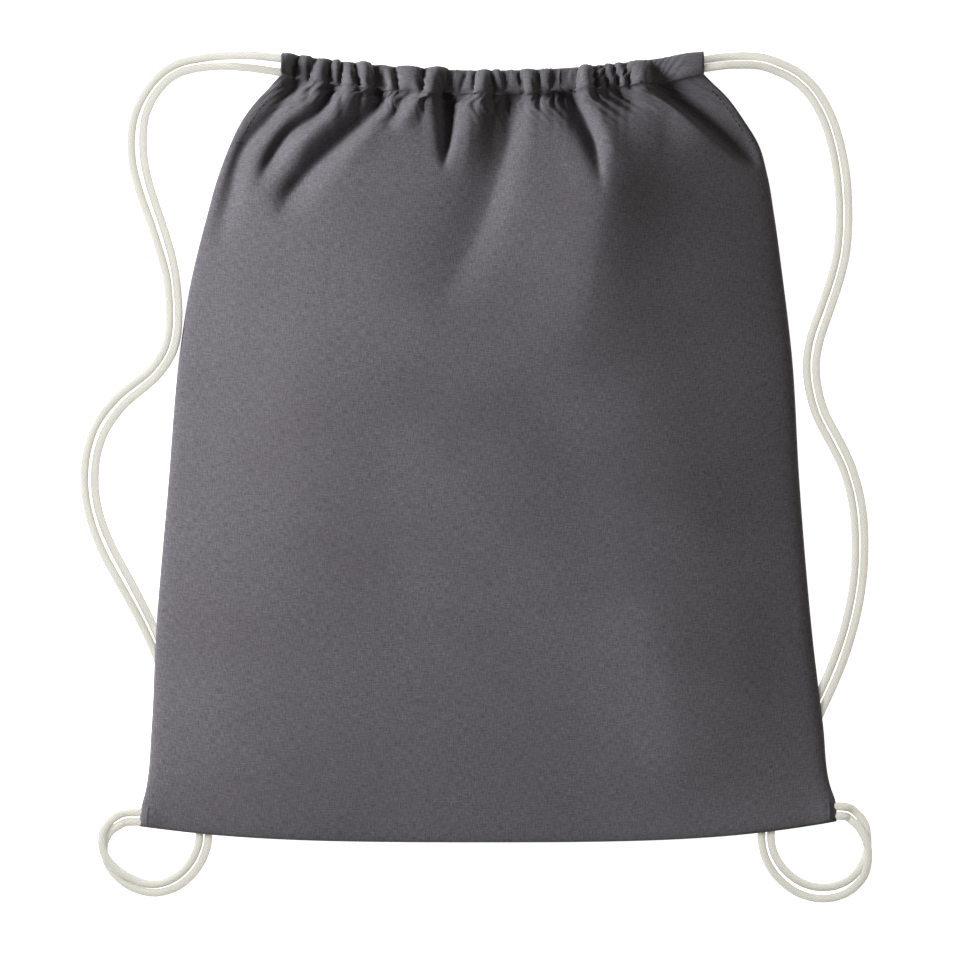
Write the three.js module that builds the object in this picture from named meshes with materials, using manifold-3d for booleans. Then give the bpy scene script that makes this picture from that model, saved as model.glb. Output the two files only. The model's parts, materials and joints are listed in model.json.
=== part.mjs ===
// Drawstring backpack in grey cotton, laid flat on its back with its mouth gathered.
// Millimetres. X runs across the bag, Y from the bottom seam to the mouth, Z up from the surface.
import * as THREE from 'three';
import * as BufferGeometryUtils from 'three/addons/utils/BufferGeometryUtils.js';
import Module from 'manifold-3d';

const wasm = await Module();
wasm.setup();

// Cloth
const CLOTH = 1.2; // a ply with its slack and crumple
const GAP = 0.3; // clearance between sewn pieces
const SEAM_THICKNESS = 1.5; // the two overlocked allowances, pressed together
const SEAM_WIDTH = 8;
const EDGE_STACK = 2 * CLOTH + 2 * GAP + SEAM_THICKNESS; // bag thickness at a seam
const PUFF = 15.5; // how far the front stands above the seams
const COLUMNS = 16; // panel grid, shared by everything sewn to it
const ROWS = 16;
const SLIT_ROW = 15; // the side seams stop here and the side slits begin

// Outline: half the width of the bag at heights Y, and the curve of the bottom edge
const OUTLINE_Y = [-207, -188, -111, -23, 64, 108, 152, 185, 199];
const OUTLINE_HALF_WIDTH = [190.3, 187, 180, 172.6, 165.5, 157.2, 147.7, 128.5, 115];
const BOTTOM_MID_Y = -216.2;
const BOTTOM_RISE = 9.5; // how much higher the bottom corners are than the middle
const CORNER_X = 190.3;

// Mouth: both tunnels follow one shallow arc whose centre lies beyond the mouth
const MOUTH_RADIUS = 665;
const MOUTH_CENTRE_Y = 863.5;
const TUNNEL_HALF_SPAN = 112;
const TUNNEL_WIDTH = 16;
const TUNNEL_HEIGHT = 8.5;
const BORE_WIDTH = 13;
const BORE_HEIGHT = 6;
const TURN_AT = 98; // here the inner ply stops and the outer ply goes on as a flap
const MOUTH_GAP = 8;
const TUNNEL_STEPS = 10;
const BACK_TUNNEL_Z = TUNNEL_HEIGHT / 2;
const FRONT_TUNNEL_Z = TUNNEL_HEIGHT * 1.5 + MOUTH_GAP;
const STITCH_WIDTH = 0.8;
const PANEL_TOP_OFFSET = TUNNEL_WIDTH / 2 + STITCH_WIDTH + 2 * GAP;
const FRONT_TOP_Z = FRONT_TUNNEL_Z + TUNNEL_HEIGHT / 2 - 1;

// Drawcords
const CORD = 4.5; // diameter
const CORD_SIDES = 8;
const RUN_OFFSET = 3; // each strand runs this far off the middle of its tunnel
const RUN_END = TUNNEL_HALF_SPAN + 2; // a sliding run ends here and a leg begins
const RUN_STEPS = 64;
const LEG_STEPS = 56;
const CROSSING_CLEARANCE = 5; // least distance between the middles of two strands
const UNDERPASS = 5.2; // the back is lifted this far over the legs that lie under it
const UNDERPASS_X = [110, 141];
const UNDERPASS_Y = [-30, -70];

// Legs from the mouth to the bottom corner. Each entry is a point of the pair's middle line, the
// front strand's distance to the left of it looking along the pair, and how far the front strand is
// still above the surface as it comes down from its tunnel.
const LEFT_LEGS = [
  [-114.3, 208.3, -3, 18.5],
  [-127, 210.0, -2.8, 16.1],
  [-138, 210.9, -2.6, 10.3],
  [-148, 211.2, -2.5, 4.3],
  [-158, 210.2, -2.5, 0.8],
  [-168, 208.0, -2.5, 0],
  [-177, 202.8, -2.5, 0],
  [-185, 193.5, -2.6, 0],
  [-190.3, 182, -2.9, 0],
  [-192.1, 169, -3.3, 0],
  [-191.2, 155, -3.3, 0],
  [-187.5, 140, -3.1, 0],
  [-182.3, 125, -3.0, 0],
  [-177.5, 110, -2.9, 0],
  [-173.9, 96, -2.6, 0],
  [-172.2, 82, -2.45, 0],
  [-172.0, 67, -2.45, 0],
  [-174.9, 53, -2.5, 0],
  [-184.2, 39.5, -2.5, 0],
  [-199.5, 27, -2.8, 0],
  [-210.8, 13, -3.0, 0],
  [-216.4, -1.5, -2.9, 0],
  [-218.1, -16, -2.9, 0],
  [-217.0, -30, -2.8, 0],
  [-212.9, -45, -2.9, 0],
  [-206.2, -60, -3.0, 0],
  [-198.0, -75, -2.9, 0],
  [-190.0, -90, -2.7, 0],
  [-181.5, -108, -2.6, 0],
  [-172.5, -132, -2.5, 0],
  [-164.5, -160, -2.5, 0],
  [-158.6, -186, -2.5, 0],
  [-155.8, -206, -2.5, 0],
  [-156.2, -218, -2.5, 0],
  [-161.6, -229.5, -2.5, 0],
  [-171.2, -238.2, -2.5, 0],
  [-183.5, -241.4, -2.4, 0],
  [-195.6, -237.9, -2.3, 0],
  [-205.2, -230.4, -1.5, 0],
  [-210.3, -220.3, 0, 0],
  [-208.9, -210.6, 1.6, 0],
  [-204.0, -205.3, 2.4, 0],
  [-198.0, -202.4, 2.6, 0],
  [-192.3, -201.9, 2.6, 0],
];
const RIGHT_LEGS = [
  [114.3, 208.3, -3, 18.5],
  [127, 210.4, -3.0, 16.1],
  [138, 211.3, -2.9, 10.3],
  [149, 211.0, -2.6, 4.3],
  [159, 208.0, -2.5, 0.8],
  [168.5, 203.2, -2.5, 0],
  [177, 195.4, -2.5, 0],
  [183.5, 185.2, -2.5, 0],
  [188, 174.5, -2.5, 0],
  [191.6, 161, -2.5, 0],
  [193.8, 147, -2.6, 0],
  [194.8, 132, -2.5, 0],
  [194.6, 117, -2.5, 0],
  [192.9, 103, -2.5, 0],
  [189.2, 89, -2.5, 0],
  [184.1, 74, -2.6, 0],
  [179.3, 60, -2.7, 0],
  [177.0, 46, -2.6, 0],
  [178.2, 32, -2.5, 0],
  [182.2, 18, -2.5, 0],
  [188.9, 5, -2.6, 0],
  [195.9, -9, -2.5, 0],
  [200.6, -24, -2.5, 0],
  [203.0, -39, -2.6, 0],
  [203.6, -56, -2.5, 0],
  [202.8, -71, -2.5, 0],
  [200.4, -87, -2.5, 0],
  [196.4, -103, -2.5, 0],
  [190.2, -121, -2.6, 0],
  [180.9, -142, -2.5, 0],
  [170.0, -166, -2.5, 0],
  [159.4, -189, -2.5, 0],
  [153.2, -206, -2.6, 0],
  [152.9, -219, -2.6, 0],
  [158.9, -231.5, -2.8, 0],
  [170.2, -240.8, -3.0, 0],
  [183, -243.9, -3.1, 0],
  [195.2, -241.2, -2.9, 0],
  [204.0, -233, -2.0, 0],
  [207.6, -220, 0, 0],
  [205.2, -208.4, 1.8, 0],
  [201.5, -203.2, 2.4, 0],
  [197.0, -199.6, 2.6, 0],
  [192.3, -198.7, 2.6, 0],
];

const charcoal = { color: 0x6b666b, roughness: 0.95, metalness: 0 };
const charcoalInside = { color: 0x5b575b, roughness: 0.95, metalness: 0 };
const naturalCotton = { color: 0xe4dfce, roughness: 0.9, metalness: 0 };
const thread = { color: 0x55515a, roughness: 0.8, metalness: 0 };

const pack = new THREE.Group();

function addPiece(name, geometry, look) {
  const mesh = new THREE.Mesh(geometry, new THREE.MeshStandardMaterial(look));
  mesh.name = name;
  pack.add(mesh);
}

// ---- shapes of the cloth ------------------------------------------------

const halfWidthCurve = new THREE.CubicInterpolant(OUTLINE_Y, OUTLINE_HALF_WIDTH, 1);

function halfWidth(y) {
  return halfWidthCurve.evaluate(y)[0];
}

// A point on the mouth's arc: x across, offset towards the mouth's open side.
function mouthY(x, offset) {
  return MOUTH_CENTRE_Y - Math.sqrt((MOUTH_RADIUS - offset) ** 2 - x * x);
}

function bottomY(x) {
  return BOTTOM_MID_Y + BOTTOM_RISE * Math.abs(x / CORNER_X) ** 3;
}

// The plan of both panels: u from the left edge to the right, v from the bottom edge to the tunnel.
function panelPlan(u, v) {
  const edgeTop = OUTLINE_Y[OUTLINE_Y.length - 1];
  const edgeY = THREE.MathUtils.lerp(OUTLINE_Y[0], edgeTop, v);
  const x = (2 * u - 1) * halfWidth(edgeY);
  const y = THREE.MathUtils.lerp(bottomY(x), mouthY(x, -PANEL_TOP_OFFSET), v);
  return { x, y };
}

// Height of the back's outer face: on the surface, and lifted where cord legs lie under it.
function backHeight(x, y) {
  const across = THREE.MathUtils.smoothstep(Math.abs(x), ...UNDERPASS_X);
  const along = THREE.MathUtils.smoothstep(-y, -UNDERPASS_Y[0], -UNDERPASS_Y[1]);
  return UNDERPASS * across * along;
}

// Height of the front's outer face: it crowns between the side seams and rises to the tunnel.
function frontHeight(u, v) {
  if (v === 1) return FRONT_TOP_Z;
  const { x, y } = panelPlan(u, v);
  const crown = 1 - (2 * u - 1) ** 4;
  const rise = 1 - (1 - v) ** 3.2;
  return backHeight(x, y) + EDGE_STACK + PUFF * rise * crown;
}

// A closed sheet between two height functions over the panel plan.
function clothSheet(us, vs, lowest, thickness) {
  const corners = [];
  for (const lift of [thickness, 0]) {
    for (const v of vs) {
      for (const u of us) {
        const { x, y } = panelPlan(u, v);
        corners.push(x, y, lowest(u, v) + lift);
      }
    }
  }
  const width = us.length;
  const layer = width * vs.length;
  const faces = [];
  const quad = (a, b, c, d) => faces.push(a, b, c, a, c, d);
  for (let j = 0; j + 1 < vs.length; j++) {
    for (let i = 0; i + 1 < width; i++) {
      const a = j * width + i;
      quad(a, a + 1, a + width + 1, a + width);
      quad(layer + a, layer + a + width, layer + a + width + 1, layer + a + 1);
    }
  }
  const wall = (a, b) => quad(a, layer + a, layer + b, b);
  for (let i = 0; i + 1 < width; i++) {
    wall(i, i + 1);
    wall(layer - 1 - i, layer - 2 - i);
  }
  for (let j = 0; j + 1 < vs.length; j++) {
    wall((j + 1) * width, j * width);
    wall(j * width + width - 1, (j + 2) * width - 1);
  }
  const geometry = new THREE.BufferGeometry();
  geometry.setAttribute('position', new THREE.Float32BufferAttribute(corners, 3));
  geometry.setIndex(faces);
  geometry.computeVertexNormals();
  return geometry;
}

function steps(count, first = 0, last = count) {
  return Array.from({ length: last - first + 1 }, (_, i) => (first + i) / count);
}

function backLowest(u, v) {
  const { x, y } = panelPlan(u, v);
  return backHeight(x, y);
}

function insideBack(u, v) {
  return backLowest(u, v) + CLOTH + GAP;
}

// ---- the two panels and the seams that join them -------------------------

addPiece('back_panel', clothSheet(steps(COLUMNS), steps(ROWS), backLowest, CLOTH), charcoal);
addPiece(
  'front_panel',
  clothSheet(steps(COLUMNS), steps(ROWS), (u, v) => frontHeight(u, v) - CLOTH, CLOTH),
  charcoal,
);

// Grid values measured in millimetres from an edge, for pieces sewn along it.
function inset(side, distance) {
  const u = distance / (2 * CORNER_X);
  return side < 0 ? u : 1 - u;
}

function insetRange(side, near, far) {
  return [inset(side, near), inset(side, far)].sort((a, b) => a - b);
}

const SEAM_FIRST_V = 1 / ROWS;
const SEAM_LAST_V = (SLIT_ROW - 0.35) / ROWS;
const seamRows = [...steps(ROWS, 1, SLIT_ROW - 1), SEAM_LAST_V];
const tackRows = [SEAM_LAST_V + 0.1 / ROWS, SEAM_LAST_V + 0.3 / ROWS];
const hemRows = [(SLIT_ROW + 0.04) / ROWS, (SLIT_ROW + 0.94) / ROWS];
const HEM_WIDTH = 5;
const HEM_THICKNESS = 0.8;
const HEM_DROP = 2; // the front hems hang this far inside the twisted edge of the panel

for (const [hand, side] of [['left', -1], ['right', 1]]) {
  const seamColumns = insetRange(side, 1, 1 + SEAM_WIDTH);
  const hemColumns = insetRange(side, 1, 1 + HEM_WIDTH);
  addPiece(
    `${hand}_side_seam`,
    clothSheet(seamColumns, seamRows, insideBack, SEAM_THICKNESS),
    charcoalInside,
  );
  addPiece(`${hand}_slit_bartack`, clothSheet(seamColumns, tackRows, insideBack, SEAM_THICKNESS), thread);
  addPiece(`${hand}_back_slit_hem`, clothSheet(hemColumns, hemRows, insideBack, HEM_THICKNESS), charcoalInside);
  addPiece(
    `${hand}_front_slit_hem`,
    clothSheet(hemColumns, hemRows, frontHemLowest, HEM_THICKNESS),
    charcoalInside,
  );
}

// Between the slit row and the tunnel the front rises in a straight ramp, and its hem follows.
function frontHemLowest(u, v) {
  const slit = SLIT_ROW / ROWS;
  const along = (v - slit) / (1 - slit);
  const outer = THREE.MathUtils.lerp(frontHeight(u, slit), FRONT_TOP_Z, along);
  return Math.max(outer - CLOTH - HEM_DROP - HEM_THICKNESS, CLOTH + 2 * GAP + HEM_THICKNESS);
}

const BOTTOM_SEAM_COLUMNS = [1, COLUMNS - 1];
const bottomRows = [1 / 400, (1 + SEAM_WIDTH) / 400];
addPiece(
  'bottom_seam',
  clothSheet(steps(COLUMNS, ...BOTTOM_SEAM_COLUMNS), bottomRows, insideBack, SEAM_THICKNESS),
  charcoalInside,
);

// ---- tunnels along the mouth ---------------------------------------------

// An arc of the mouth, from one distance along it to another.
class MouthArc extends THREE.Curve {
  constructor(from, to, offset, z) {
    super();
    Object.assign(this, { from, to, offset, z });
  }

  getPoint(t, target = new THREE.Vector3()) {
    const angle = THREE.MathUtils.lerp(this.from, this.to, t) / MOUTH_RADIUS;
    const radius = MOUTH_RADIUS - this.offset;
    return target.set(radius * Math.sin(angle), MOUTH_CENTRE_Y - radius * Math.cos(angle), this.z);
  }
}

// A rectangle with rounded corners; x of the section ends up along Z and y across the tunnel.
function roundedOutline(Outline, height, width, radius) {
  const outline = new Outline();
  const x = height / 2 - radius;
  const y = width / 2 - radius;
  outline.absarc(x, y, radius, 0, Math.PI / 2);
  outline.absarc(-x, y, radius, Math.PI / 2, Math.PI);
  outline.absarc(-x, -y, radius, Math.PI, Math.PI * 1.5);
  outline.absarc(x, -y, radius, Math.PI * 1.5, Math.PI * 2);
  return outline;
}

function toManifold(geometry) {
  geometry.deleteAttribute('normal');
  geometry.deleteAttribute('uv');
  const merged = BufferGeometryUtils.mergeVertices(geometry);
  const vertProperties = new Float32Array(merged.attributes.position.array);
  const triVerts = new Uint32Array(merged.index.array);
  return new wasm.Manifold(new wasm.Mesh({ numProp: 3, vertProperties, triVerts }));
}

function toGeometry(solid) {
  const { vertProperties, triVerts } = solid.getMesh();
  const geometry = new THREE.BufferGeometry();
  geometry.setAttribute('position', new THREE.BufferAttribute(new Float32Array(vertProperties), 3));
  geometry.setIndex(new THREE.BufferAttribute(new Uint32Array(triVerts), 1));
  geometry.computeVertexNormals();
  return geometry;
}

// Takes the inner ply and half the walls off one end, so that the outer ply covers the cord's turn.
function endCutter(side, z, facing) {
  const length = 24;
  const depth = TUNNEL_HEIGHT;
  const box = new THREE.BoxGeometry(length, TUNNEL_WIDTH * 2, depth);
  const angle = (side * (TURN_AT + length / 2)) / MOUTH_RADIUS;
  box.rotateZ(angle);
  box.translate(
    MOUTH_RADIUS * Math.sin(angle),
    MOUTH_CENTRE_Y - MOUTH_RADIUS * Math.cos(angle),
    z - (facing * depth) / 2,
  );
  return toManifold(box);
}

function tunnel(z, facing) {
  const section = roundedOutline(THREE.Shape, TUNNEL_HEIGHT, TUNNEL_WIDTH, 3);
  section.holes.push(roundedOutline(THREE.Path, BORE_HEIGHT, BORE_WIDTH, 2));
  const span = TUNNEL_HALF_SPAN;
  const sleeve = new THREE.ExtrudeGeometry(section, {
    steps: TUNNEL_STEPS,
    curveSegments: 2,
    extrudePath: new MouthArc(-span, span, 0, z),
  });
  let solid = toManifold(sleeve);
  for (const side of [-1, 1]) {
    solid = solid.subtract(endCutter(side, z, facing));
  }
  return toGeometry(solid);
}

function stitchRow(z) {
  const section = roundedOutline(THREE.Shape, STITCH_WIDTH, STITCH_WIDTH, 0.3);
  const offset = -(TUNNEL_WIDTH / 2 + GAP + STITCH_WIDTH / 2);
  return new THREE.ExtrudeGeometry(section, {
    steps: TUNNEL_STEPS,
    curveSegments: 1,
    extrudePath: new MouthArc(-TURN_AT, TURN_AT, offset, z),
  });
}

addPiece('back_tunnel', tunnel(BACK_TUNNEL_Z, -1), charcoal);
addPiece('front_tunnel', tunnel(FRONT_TUNNEL_Z, 1), charcoal);
addPiece('back_tunnel_stitching', stitchRow(CLOTH / 2), thread);
addPiece('front_tunnel_stitching', stitchRow(FRONT_TOP_Z - CLOTH / 2), thread);

// ---- drawcords -----------------------------------------------------------

function cordTube(path, count) {
  const section = new THREE.Shape();
  for (let i = 0; i < CORD_SIDES; i++) {
    const angle = ((i + 0.5) / CORD_SIDES) * Math.PI * 2;
    const corner = [(CORD / 2) * Math.cos(angle), (CORD / 2) * Math.sin(angle)];
    if (i === 0) section.moveTo(...corner);
    else section.lineTo(...corner);
  }
  section.closePath();
  return new THREE.ExtrudeGeometry(section, { steps: count, extrudePath: path });
}

// The stretch that slides: along the front tunnel, round the far side slit and back along the back
// tunnel. side is where its legs hang, -1 for the left cord.
function tunnelRun(side) {
  const points = [];
  const middleZ = (FRONT_TUNNEL_Z + BACK_TUNNEL_Z) / 2;
  const halfZ = (FRONT_TUNNEL_Z - BACK_TUNNEL_Z) / 2;
  const turnRadius = Math.hypot(halfZ, RUN_OFFSET);
  const frontOffset = -side * RUN_OFFSET;
  const pointAt = (along, share) => {
    const arc = new MouthArc(along, along, frontOffset * share, middleZ + halfZ * share);
    points.push(arc.getPoint(0));
  };
  const straight = 16;
  for (let i = 0; i <= straight; i++) {
    pointAt(THREE.MathUtils.lerp(side * RUN_END, -side * TURN_AT, i / straight), 1);
  }
  const turnSteps = 10;
  for (let i = 1; i < turnSteps; i++) {
    const angle = (Math.PI * i) / turnSteps;
    pointAt(-side * (TURN_AT + turnRadius * Math.sin(angle)), Math.cos(angle));
  }
  for (let i = straight; i >= 0; i--) {
    pointAt(THREE.MathUtils.lerp(side * RUN_END, -side * TURN_AT, i / straight), -1);
  }
  return new THREE.CatmullRomCurve3(points, false, 'centripetal');
}

// One strand of a pair of legs: strand is 1 for the front one and -1 for the back one. Where the
// strands cross, the front one rises over the other, and both climb into the seam at the end.
function legPath(route, strand) {
  const middle = new THREE.CatmullRomCurve3(route.map(([x, y]) => new THREE.Vector3(x, y, 0)));
  const points = [];
  const samples = 2 * (route.length - 1);
  for (let i = 0; i <= samples; i++) {
    const t = i / samples;
    const [k, part] = [Math.floor(i / 2), (i % 2) / 2];
    const next = route[Math.min(k + 1, route.length - 1)];
    const side = THREE.MathUtils.lerp(route[k][2], next[2], part);
    const drop = THREE.MathUtils.lerp(route[k][3], next[3], part);
    const tangent = middle.getTangent(t);
    const point = middle.getPoint(t);
    point.x -= tangent.y * side * strand;
    point.y += tangent.x * side * strand;
    point.z = CORD / 2 + strandRise(side, drop, strand) + seamClimb(t);
    points.push(point);
  }
  return new THREE.CatmullRomCurve3(points, false, 'centripetal');
}

function strandRise(side, drop, strand) {
  const backDrop = (drop * (BACK_TUNNEL_Z - CORD / 2)) / (FRONT_TUNNEL_Z - CORD / 2);
  const over = Math.sqrt(Math.max(0, CROSSING_CLEARANCE ** 2 - (2 * side) ** 2));
  if (strand < 0) return backDrop;
  return drop > 0 ? drop : over;
}

function seamClimb(t) {
  const climbStart = 0.965;
  return (UNDERPASS + EDGE_STACK / 2 - CORD / 2) * THREE.MathUtils.smoothstep(t, climbStart, 1);
}

// The flattened cord ends caught in the side seam, and the bartack that holds them.
function cornerPiece(route, side, near, far, halfLength) {
  const cornerHeight = UNDERPASS + CLOTH + GAP;
  const y = route[route.length - 1][1];
  const box = new THREE.BoxGeometry(far - near, 2 * halfLength, SEAM_THICKNESS);
  box.translate((side * (near + far)) / 2, y, cornerHeight + SEAM_THICKNESS / 2);
  return box;
}

for (const [hand, side, route] of [['left', -1, LEFT_LEGS], ['right', 1, RIGHT_LEGS]]) {
  addPiece(`${hand}_cord_tunnel_run`, cordTube(tunnelRun(side), RUN_STEPS), naturalCotton);
  addPiece(`${hand}_cord_front_leg`, cordTube(legPath(route, 1), LEG_STEPS), naturalCotton);
  addPiece(`${hand}_cord_back_leg`, cordTube(legPath(route, -1), LEG_STEPS), naturalCotton);
  addPiece(`${hand}_cord_tails`, cornerPiece(route, side, 177, 190.9, 4.2), naturalCotton);
  addPiece(`${hand}_corner_bartack`, cornerPiece(route, side, 174.5, 176.7, 4.2), thread);
}

export default pack;
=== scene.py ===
"""Looks of the drawstring backpack: gathered cotton sheets, braided drawcords and the sewing."""
import json
import math

import bpy
import numpy as np
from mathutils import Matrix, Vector


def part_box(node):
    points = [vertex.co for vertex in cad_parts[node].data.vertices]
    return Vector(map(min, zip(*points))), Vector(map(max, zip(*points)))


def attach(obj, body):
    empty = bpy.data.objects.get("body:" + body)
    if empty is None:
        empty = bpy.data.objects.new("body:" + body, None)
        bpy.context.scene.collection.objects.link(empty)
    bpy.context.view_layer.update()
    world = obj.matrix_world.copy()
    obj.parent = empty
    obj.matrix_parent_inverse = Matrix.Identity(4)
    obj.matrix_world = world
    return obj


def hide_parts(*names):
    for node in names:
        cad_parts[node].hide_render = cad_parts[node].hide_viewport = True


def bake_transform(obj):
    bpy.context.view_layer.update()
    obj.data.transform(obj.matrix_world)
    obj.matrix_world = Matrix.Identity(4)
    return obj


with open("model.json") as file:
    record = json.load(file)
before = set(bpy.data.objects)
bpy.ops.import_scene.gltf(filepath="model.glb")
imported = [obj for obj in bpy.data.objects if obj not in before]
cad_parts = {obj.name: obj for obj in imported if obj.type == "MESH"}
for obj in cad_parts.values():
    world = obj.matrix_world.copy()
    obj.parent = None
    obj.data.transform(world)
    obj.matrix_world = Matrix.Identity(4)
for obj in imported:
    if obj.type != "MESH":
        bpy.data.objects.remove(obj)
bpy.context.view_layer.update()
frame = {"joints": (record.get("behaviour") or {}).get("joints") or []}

MM = 0.001

# ---------------------------------------------------------------- frame sizes

FRONT_TUNNEL_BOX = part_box("front_tunnel")
BACK_TUNNEL_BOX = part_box("back_tunnel")
MOUTH_PIVOT_Y = frame["joints"][0]["pos_m"][1]
FRONT_TUNNEL_Z = (FRONT_TUNNEL_BOX[0].z + FRONT_TUNNEL_BOX[1].z) / 2
BACK_TUNNEL_Z = (BACK_TUNNEL_BOX[0].z + BACK_TUNNEL_BOX[1].z) / 2
TUNNEL_WIDTH = 16 * MM
MOUTH_RADIUS = MOUTH_PIVOT_Y - FRONT_TUNNEL_BOX[0].y - TUNNEL_WIDTH / 2
BAG_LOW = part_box("back_panel")[0]

# ---------------------------------------------------------------- drawcord routes

CORD = 4.5 * MM
CORD_SIDES = 20
CORD_STEP = 1.25 * MM
RUN_OFFSET = 3 * MM  # each strand runs this far off the middle of its tunnel
RUN_END = 110 * MM
TURN_AT = 98 * MM
CROSSING_CLEARANCE = 5 * MM  # least distance between the middles of a pair of strands
UNDERPASS = 5.2 * MM  # the bag's underside near a corner, where the legs pass under it
EDGE_STACK = 4.5 * MM  # thickness of the corner seam that takes the cord ends
CLIMB_START = 0.965

# The middle line of each pair of legs, from the mouth to the bottom corner, in metres: a point, the
# front strand's distance to the left of it, and the front strand's height as it leaves the tunnel.
LEFT_LEGS = [
    (-0.1143, 0.2083, -0.0030, 0.0185),
    (-0.1270, 0.2100, -0.0028, 0.0161),
    (-0.1380, 0.2109, -0.0026, 0.0103),
    (-0.1480, 0.2112, -0.0025, 0.0043),
    (-0.1580, 0.2102, -0.0025, 0.0008),
    (-0.1680, 0.2080, -0.0025, 0),
    (-0.1770, 0.2028, -0.0025, 0),
    (-0.1850, 0.1935, -0.0026, 0),
    (-0.1903, 0.1820, -0.0029, 0),
    (-0.1921, 0.1690, -0.0033, 0),
    (-0.1912, 0.1550, -0.0033, 0),
    (-0.1875, 0.1400, -0.0031, 0),
    (-0.1823, 0.1250, -0.0030, 0),
    (-0.1775, 0.1100, -0.0029, 0),
    (-0.1739, 0.0960, -0.0026, 0),
    (-0.1722, 0.0820, -0.00245, 0),
    (-0.1720, 0.0670, -0.00245, 0),
    (-0.1749, 0.0530, -0.0025, 0),
    (-0.1842, 0.0395, -0.0025, 0),
    (-0.1995, 0.0270, -0.0028, 0),
    (-0.2108, 0.0130, -0.0030, 0),
    (-0.2164, -0.0015, -0.0029, 0),
    (-0.2181, -0.0160, -0.0029, 0),
    (-0.2170, -0.0300, -0.0028, 0),
    (-0.2129, -0.0450, -0.0029, 0),
    (-0.2062, -0.0600, -0.0030, 0),
    (-0.1980, -0.0750, -0.0029, 0),
    (-0.1900, -0.0900, -0.0027, 0),
    (-0.1815, -0.1080, -0.0026, 0),
    (-0.1725, -0.1320, -0.0025, 0),
    (-0.1645, -0.1600, -0.0025, 0),
    (-0.1586, -0.1860, -0.0025, 0),
    (-0.1558, -0.2060, -0.0025, 0),
    (-0.1562, -0.2180, -0.0025, 0),
    (-0.1616, -0.2295, -0.0025, 0),
    (-0.1712, -0.2382, -0.0025, 0),
    (-0.1835, -0.2414, -0.0024, 0),
    (-0.1956, -0.2379, -0.0023, 0),
    (-0.2052, -0.2304, -0.0015, 0),
    (-0.2103, -0.2203, 0, 0),
    (-0.2089, -0.2106, 0.0016, 0),
    (-0.2040, -0.2053, 0.0024, 0),
    (-0.1980, -0.2024, 0.0026, 0),
    (-0.1923, -0.2019, 0.0026, 0),
]
RIGHT_LEGS = [
    (0.1143, 0.2083, -0.0030, 0.0185),
    (0.1270, 0.2104, -0.0030, 0.0161),
    (0.1380, 0.2113, -0.0029, 0.0103),
    (0.1490, 0.2110, -0.0026, 0.0043),
    (0.1590, 0.2080, -0.0025, 0.0008),
    (0.1685, 0.2032, -0.0025, 0),
    (0.1770, 0.1954, -0.0025, 0),
    (0.1835, 0.1852, -0.0025, 0),
    (0.1880, 0.1745, -0.0025, 0),
    (0.1916, 0.1610, -0.0025, 0),
    (0.1938, 0.1470, -0.0026, 0),
    (0.1948, 0.1320, -0.0025, 0),
    (0.1946, 0.1170, -0.0025, 0),
    (0.1929, 0.1030, -0.0025, 0),
    (0.1892, 0.0890, -0.0025, 0),
    (0.1841, 0.0740, -0.0026, 0),
    (0.1793, 0.0600, -0.0027, 0),
    (0.1770, 0.0460, -0.0026, 0),
    (0.1782, 0.0320, -0.0025, 0),
    (0.1822, 0.0180, -0.0025, 0),
    (0.1889, 0.0050, -0.0026, 0),
    (0.1959, -0.0090, -0.0025, 0),
    (0.2006, -0.0240, -0.0025, 0),
    (0.2030, -0.0390, -0.0026, 0),
    (0.2036, -0.0560, -0.0025, 0),
    (0.2028, -0.0710, -0.0025, 0),
    (0.2004, -0.0870, -0.0025, 0),
    (0.1964, -0.1030, -0.0025, 0),
    (0.1902, -0.1210, -0.0026, 0),
    (0.1809, -0.1420, -0.0025, 0),
    (0.1700, -0.1660, -0.0025, 0),
    (0.1594, -0.1890, -0.0025, 0),
    (0.1532, -0.2060, -0.0026, 0),
    (0.1529, -0.2190, -0.0026, 0),
    (0.1589, -0.2315, -0.0028, 0),
    (0.1702, -0.2408, -0.0030, 0),
    (0.1830, -0.2439, -0.0031, 0),
    (0.1952, -0.2412, -0.0029, 0),
    (0.2040, -0.2330, -0.0020, 0),
    (0.2076, -0.2200, 0, 0),
    (0.2052, -0.2084, 0.0018, 0),
    (0.2015, -0.2032, 0.0024, 0),
    (0.1970, -0.1996, 0.0026, 0),
    (0.1923, -0.1987, 0.0026, 0),
]

# ---------------------------------------------------------------- small helpers


def smoothstep(x, low, high):
    t = np.clip((np.asarray(x, float) - low) / (high - low), 0, 1)
    return t * t * (3 - 2 * t)


def smooth_curve(xs, ys, x):
    """A smooth curve through a few points, with slopes taken from the neighbours of each."""
    xs, ys, x = np.asarray(xs, float), np.asarray(ys, float), np.asarray(x, float)
    slopes = np.gradient(ys, xs)
    k = np.clip(np.searchsorted(xs, x) - 1, 0, len(xs) - 2)
    width = xs[k + 1] - xs[k]
    t = np.clip((x - xs[k]) / width, 0, 1)
    return (
        (2 * t**3 - 3 * t**2 + 1) * ys[k]
        + (t**3 - 2 * t**2 + t) * width * slopes[k]
        + (3 * t**2 - 2 * t**3) * ys[k + 1]
        + (t**3 - t**2) * width * slopes[k + 1]
    )


def catmull(points, per_span):
    """Evenly parametrised points on a smooth curve through the given ones."""
    p = np.asarray(points, float)
    p = np.vstack([2 * p[0] - p[1], p, 2 * p[-1] - p[-2]])
    t = np.linspace(0, 1, per_span, endpoint=False)[:, None]
    out = []
    for a, b, c, d in zip(p[:-3], p[1:-2], p[2:-1], p[3:]):
        out.append(
            0.5 * (2 * b + (c - a) * t + (2 * a - 5 * b + 4 * c - d) * t**2 + (3 * b - a - 3 * c + d) * t**3)
        )
    return np.vstack(out + [p[-2:-1]])


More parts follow.
